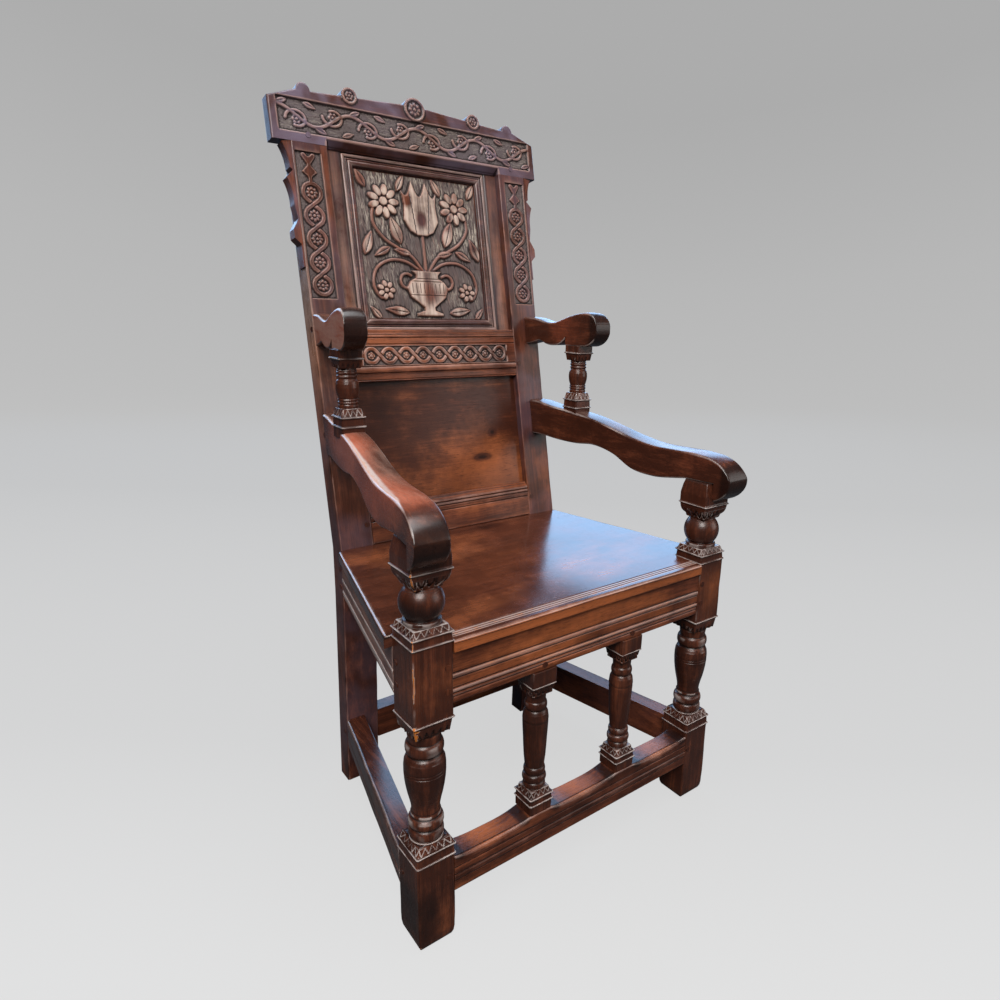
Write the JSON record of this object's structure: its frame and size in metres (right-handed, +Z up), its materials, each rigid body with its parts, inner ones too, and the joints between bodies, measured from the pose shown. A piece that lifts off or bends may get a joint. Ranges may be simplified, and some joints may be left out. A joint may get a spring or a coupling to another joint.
{
  "type": "wainscot armchair",
  "caption": "Joined oak armchair with a tall raked panelled back, carved crest, scrolled arms on turned posts, board seat and low stretchers.",
  "frame": {"origin": "on the floor, at the middle of the chair's box in plan", "axes": "+Z up, -Y towards the front of the chair, +X to the right as seen from the front"},
  "size_m": [0.6212, 0.5952, 1.2435],
  "materials": {
    "frame_oak": "dark waxed oak",
    "panel_oak": "dark waxed oak, carved",
    "seat_oak": "polished oak, worn smooth",
    "peg_oak": "riven oak pegs"
  },
  "bodies": {
    "root": {"arm_baluster_left": "frame_oak", "arm_baluster_right": "frame_oak", "arm_pegs": "peg_oak", "crest_pegs": "peg_oak", "crest_rail": "frame_oak", "front_post_left": "frame_oak", "front_post_right": "frame_oak", "front_seat_rail": "frame_oak", "front_spindle_left": "frame_oak", "front_spindle_right": "frame_oak", "front_stretcher": "frame_oak", "lower_arm_left": "frame_oak", "lower_arm_right": "frame_oak", "lower_back_rail": "frame_oak", "lower_panel": "panel_oak", "mid_rail": "frame_oak", "panel_frame_bottom": "panel_oak", "panel_frame_left": "panel_oak", "panel_frame_right": "panel_oak", "panel_frame_top": "panel_oak", "post_pegs": "peg_oak", "rear_seat_rail": "frame_oak", "rear_stile_left": "frame_oak", "rear_stile_right": "frame_oak", "rear_stretcher": "frame_oak", "seat_board": "seat_oak", "side_seat_rail_left": "frame_oak", "side_seat_rail_right": "frame_oak", "side_stretcher_left": "frame_oak", "side_stretcher_right": "frame_oak", "spindle_pegs": "peg_oak", "stile_pegs": "peg_oak", "stile_wing_left": "frame_oak", "stile_wing_right": "frame_oak", "upper_arm_left": "frame_oak", "upper_arm_right": "frame_oak", "upper_panel": "panel_oak"}
  },
  "joints": []
}
